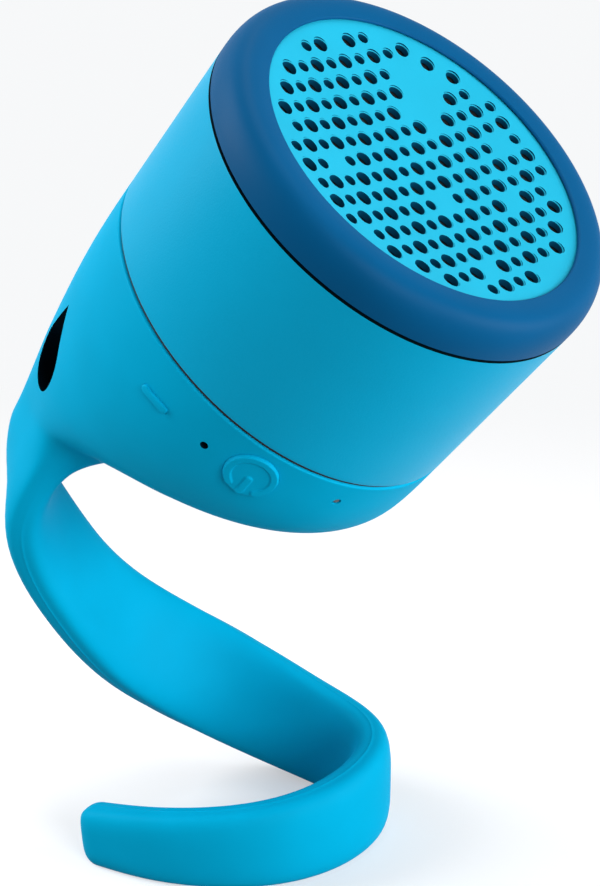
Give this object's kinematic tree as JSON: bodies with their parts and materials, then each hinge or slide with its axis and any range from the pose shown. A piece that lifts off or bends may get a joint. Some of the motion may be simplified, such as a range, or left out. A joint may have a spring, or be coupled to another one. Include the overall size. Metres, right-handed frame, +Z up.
{
  "type": "portable speaker",
  "caption": "Small round portable speaker, leaning on a bendable tail that coils into its own stand.",
  "frame": {"origin": "middle of the whole outline seen from above, on the ground that the tail stands on", "axes": "+Z up, -Y towards the side that the picture shows, +X to the right in it"},
  "size_m": [0.109, 0.091, 0.1612],
  "materials": {
    "blue_silicone": "matte moulded silicone",
    "satin_blue": "satin paint with a fine speckle",
    "deep_blue": "soft matte rubber",
    "grille_blue": "satin",
    "black_foam": "matte",
    "grey_plastic": "matte",
    "black_rubber": "matte",
    "cone_paper": "matte",
    "copper_wire": "enamelled winding",
    "ferrite": "matte",
    "board_green": "solder mask",
    "cell_wrap": "shrink wrap",
    "lamp_clear": "clear",
    "steel": "brushed"
  },
  "bodies": {
    "tail_base": {"tail_base": "blue_silicone", "tail_base_core": "steel"},
    "tail_tip": {"tail_tip": "blue_silicone", "tail_tip_core": "steel"},
    "tail_link_3": {"tail_link_3": "blue_silicone", "tail_link_3_core": "steel"},
    "tail_link_2": {"tail_link_2": "blue_silicone", "tail_link_2_core": "steel"},
    "tail_link_1": {"tail_link_1": "blue_silicone", "tail_link_1_core": "steel"},
    "cone": {"cone": "cone_paper", "dust_cap": "cone_paper", "voice_coil": "copper_wire"},
    "power_button": {"power_button": "blue_silicone"},
    "volume_down_button": {"volume_down_button": "blue_silicone"},
    "volume_up_button": {"volume_up_button": "blue_silicone"},
    "port_flap": {"port_flap": "blue_silicone"},
    "drum": {"bezel_ring": "deep_blue", "grille": "grille_blue", "grille_mesh": "black_foam", "baffle_gasket": "black_foam", "sleeve": "satin_blue", "rear_seal": "black_foam", "housing_tub": "grey_plastic", "baffle": "grey_plastic", "driver_frame": "steel", "surround": "black_rubber", "spider": "black_rubber", "top_plate": "steel", "magnet": "ferrite", "back_plate": "steel", "driver_screw_1": "steel", "baffle_screw_1": "steel", "board_screw_1": "steel", "driver_screw_2": "steel", "baffle_screw_2": "steel", "board_screw_2": "steel", "driver_screw_3": "steel", "baffle_screw_3": "steel", "board_screw_3": "steel", "driver_screw_4": "steel", "baffle_screw_4": "steel", "board_screw_4": "steel", "main_board": "board_green", "shield_can": "steel", "usb_socket": "steel", "battery": "cell_wrap", "button_strip": "board_green", "power_switch": "steel", "volume_down_switch": "steel", "volume_up_switch": "steel", "microphone": "steel", "lamp_pipe": "lamp_clear", "boot": "blue_silicone", "root_core": "steel"}
  },
  "joints": [
    {"name": "tail_bend_4", "type": "hinge", "parent": "tail_base", "child": "tail_link_3", "pos_m": [0.00593, 0.02173, 0.01113], "axis": [-0.2015, 0.0258, -0.9791], "range_deg": [-30, 30]},
    {"name": "tail_bend_3", "type": "hinge", "parent": "tail_link_3", "child": "tail_link_2", "pos_m": [-0.02101, 0.02736, 0.02392], "axis": [-0.4294, -0.5049, -0.7488], "range_deg": [-20, 30]},
    {"name": "tail_bend_2", "type": "hinge", "parent": "tail_link_2", "child": "tail_link_1", "pos_m": [-0.03949, 0.01916, 0.04336], "axis": [-0.1857, -0.8632, -0.4695], "range_deg": [-20, 30]},
    {"name": "tail_bend_1", "type": "hinge", "parent": "tail_link_1", "child": "drum", "pos_m": [-0.04896, 0.01412, 0.06565], "axis": [-0.0396, -0.9968, -0.0695], "range_deg": [-20, 30]},
    {"name": "tail_bend_5", "type": "hinge", "parent": "tail_base", "child": "tail_tip", "pos_m": [-0.00873, -0.01557, 0.00757], "axis": [0.0575, 0.0024, -0.9983], "range_deg": [-30, 30]},
    {"name": "cone_travel", "type": "slide", "parent": "drum", "child": "cone", "axis": [0.5081, -0.4233, 0.7501], "range_m": [-0.0012, 0.0012], "stiffness_N_per_m": 1500, "deforming": ["surround", "spider"]},
    {"name": "power_button_press", "type": "slide", "parent": "drum", "child": "power_button", "axis": [0.1378, 0.8996, 0.4144], "range_m": [0, 0.0005], "stiffness_N_per_m": 3000},
    {"name": "volume_down_button_press", "type": "slide", "parent": "drum", "child": "volume_down_button", "axis": [0.5651, 0.8211, 0.0806], "range_m": [0, 0.0005], "stiffness_N_per_m": 3000},
    {"name": "volume_up_button_press", "type": "slide", "parent": "drum", "child": "volume_up_button", "axis": [0.675, -0.3453, -0.6521], "range_m": [0, 0.0005], "stiffness_N_per_m": 3000},
    {"name": "port_flap_hinge", "type": "hinge", "parent": "drum", "child": "port_flap", "pos_m": [0.0281, 0.02263, 0.08191], "axis": [-0.0795, 0.8441, 0.5302], "range_deg": [0, 100]}
  ]
}
